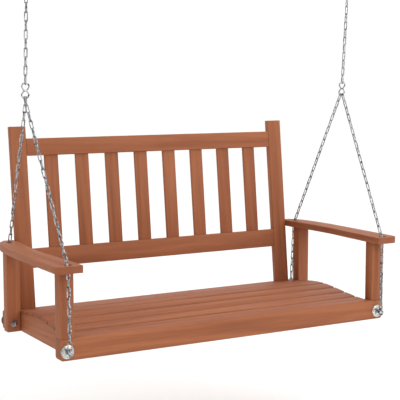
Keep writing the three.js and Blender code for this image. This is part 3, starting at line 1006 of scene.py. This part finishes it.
class Screws:
    """Pan-head wood screws with a cross recess, turned once and driven many times."""

    head: float = 4.6 * MM
    height: float = 2.4 * MM
    shank: float = 2.0 * MM

    def __init__(self, finishes: Finishes) -> None:
        """Turns the pattern screw: its head stands on +Z over a short shank."""
        self.finishes = finishes
        piece = drum("screw_pattern", Vector((0, 0, self.height / 2)), self.head, self.height,
                     sides=16)
        pick(piece, "EDGE", lambda ends: all(p.z > 0.9 * self.height for p in ends))
        bpy.ops.mesh.bevel(offset=1.3 * MM, segments=3, affect="EDGES")
        done()
        slots = [
            block("recess", Vector((-a, -b, 0.5 * self.height)), Vector((a, b, 2 * self.height)))
            for a, b in ((2.2 * MM, 0.5 * MM), (0.5 * MM, 2.2 * MM))
        ]
        combine(piece, slots)
        shank = drum("shank", Vector((0, 0, -2 * MM)), self.shank, 5 * MM, sides=10)
        self.pattern = combine(piece, [shank], "UNION")
        only(self.pattern)
        bpy.ops.object.shade_smooth_by_angle(angle=math.radians(40))

    def drive(self, name: str, place: Matrix, tilt: Tilt, body: str) -> None:
        """Drives one screw.

        Args:
            name: the screw's name.
            place: from the pattern, head up on the origin, to square coordinates.
            tilt: the square frame.
            body: what it rides on.
        """
        screw = copy_of(self.pattern, name, place)
        tilt.settle(screw)
        hand_over(screw, self.finishes.fastener, "zinc_steel", body)

    def put_away(self) -> None:
        """Clears the pattern screw away."""
        discard(self.pattern)


@dataclass
class FrameScrews:
    """The bench's own screws: rear rail to stiles, and side rails to posts."""

    finishes: Finishes
    spacing: float = 30 * MM
    end_margin: float = 18 * MM  # from a side rail's end to its screw

    def build(self) -> None:
        """Drives the screws, two at each joint."""
        screws = Screws(self.finishes)
        for side, sign in SIDES.items():
            rail_low, rail_high = SEAT.box("rear_rail")
            stile_low, stile_high = BACK.box(f"{side}_back_stile")
            x = (stile_low.x + stile_high.x) / 2
            side_low, side_high = SEAT.box(f"{side}_side_rail")
            inner_x = side_high.x if sign < 0 else side_low.x
            backwards = Matrix.Rotation(-math.pi / 2, 4, "X")
            inwards = Matrix.Rotation(-sign * math.pi / 2, 4, "Y")
            for number, shift in enumerate((-0.5, 0.5), 1):
                z = (rail_low.z + rail_high.z) / 2 + shift * self.spacing
                screws.drive(
                    f"{side}_rear_rail_screw_{number}",
                    Matrix.Translation((x + shift * self.spacing, rail_high.y, z)) @ backwards,
                    SEAT, "bench")
                for end, y in (("front", side_low.y + self.end_margin),
                               ("rear", side_high.y - self.end_margin)):
                    screws.drive(
                        f"{side}_{end}_side_screw_{number}",
                        Matrix.Translation((inner_x, y, z)) @ inwards, SEAT, "bench")
        screws.put_away()


# ------------------------------------------------------------------ studio


@dataclass
class Studio:
    """A pale floor, soft lights and the camera."""

    seat_height: float = 0.42  # the rails' bottom over the floor
    floor_width: float = 400.0
    focal_mm: float = 99.87
    sensor_mm: float = 36.0
    far_clip: float = 1000.0
    camera_at: Vector = field(default_factory=lambda: Vector((-1.83603, -3.20421, -0.35454)))
    camera_turn: float = 30.01  # degrees round from straight ahead
    camera_dip: float = 6.35  # degrees below the seat's level
    lights_aim: Vector = field(default_factory=lambda: Vector((0, 0, -0.9)))
    bright_side: tuple[float, float, float] = (0.45, 0.35, 0.6)
    dim: float = 0.15  # the surround's strength straight away from its bright side
    bright: float = 1.42  # and straight towards it

    def floor(self) -> None:
        """Lays the floor under the bench."""
        bottom = min(SEAT.box("front_rail")[0].z, SEAT.box("rear_rail")[0].z)
        bpy.ops.mesh.primitive_plane_add(
            size=self.floor_width, location=(0, 0, bottom - self.seat_height))
        floor = named("floor")
        floor.data.materials.append(PaleFloor().material())

    def camera(self) -> None:
        """Sets the camera up, leaning with the bench.

        So the bench looks level from it, and the chains, plumb in the frame, look leaning.
        """
        turn, dip = math.radians(self.camera_turn), math.radians(self.camera_dip)
        look = Vector((math.sin(turn) * math.cos(dip), math.cos(turn) * math.cos(dip),
                       -math.sin(dip)))
        data = bpy.data.cameras.new("camera")
        data.lens, data.sensor_width = self.focal_mm, self.sensor_mm
        data.clip_end = self.far_clip
        camera = bpy.data.objects.new("camera", data)
        bpy.context.scene.collection.objects.link(camera)
        aim = look.to_track_quat("-Z", "Y").to_matrix().to_4x4()
        camera.matrix_world = SEAT.to_frame() @ Matrix.Translation(self.camera_at) @ aim
        bpy.context.scene.camera = camera

    def light(self, name: str, place: Vector, size: float, watts: float, colour: str) -> None:
        """Hangs one square soft light, aimed at the bench."""
        data = bpy.data.lights.new(name, "AREA")
        data.shape, data.size, data.energy = "SQUARE", size, watts
        data.color = linear(colour)[:3]
        lamp = bpy.data.objects.new(name, data)
        bpy.context.scene.collection.objects.link(lamp)
        aim = (self.lights_aim - place).to_track_quat("-Z", "Y").to_matrix().to_4x4()
        lamp.matrix_world = Matrix.Translation(place) @ aim

    def lights(self) -> None:
        """Sets the key and overhead lights and a surround that dims softly to the left."""
        self.light("key_light", Vector((1.8, -4.2, 1.2)), 2.6, 64, "#FFFBF5")
        self.light("overhead_light", Vector((0.2, 0.4, 3.2)), 3.0, 25, "#FFFFFF")
        world = bpy.data.worlds.new("surround")
        world.use_nodes = True
        add, link = world.node_tree.nodes.new, world.node_tree.links.new
        spot, shade = add("ShaderNodeTexCoord"), add("ShaderNodeVectorMath")
        shade.operation, shade.inputs[1].default_value = "DOT_PRODUCT", self.bright_side
        strength = add("ShaderNodeMapRange")
        for place, value in ((1, -1.0), (2, 1.0), (3, self.dim), (4, self.bright)):
            strength.inputs[place].default_value = value
        link(spot.outputs["Generated"], shade.inputs[0])
        link(shade.outputs["Value"], strength.inputs["Value"])
        link(strength.outputs[0], world.node_tree.nodes["Background"].inputs["Strength"])
        world.node_tree.nodes["Background"].inputs["Color"].default_value = linear("#FFFFFF")
        bpy.context.scene.world = world
        # Shows the finishes' sRGB colours as they are named, over a white surround
        bpy.context.scene.view_settings.view_transform = "Standard"

    def build(self) -> None:
        """Sets the studio up."""
        self.floor()
        self.lights()
        self.camera()


def main() -> None:
    """Builds the swing and its studio."""
    logging.basicConfig(level=logging.INFO, format="%(name)s: %(message)s")
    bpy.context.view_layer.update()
    finishes = Finishes()
    for work in (Timberwork(finishes), Chainwork(finishes), Eyebolts(finishes),
                 CeilingFittings(finishes), FrameScrews(finishes), Studio()):
        log.info("building %s", type(work).__name__)
        work.build()


if __name__ == "__main__":
    main()
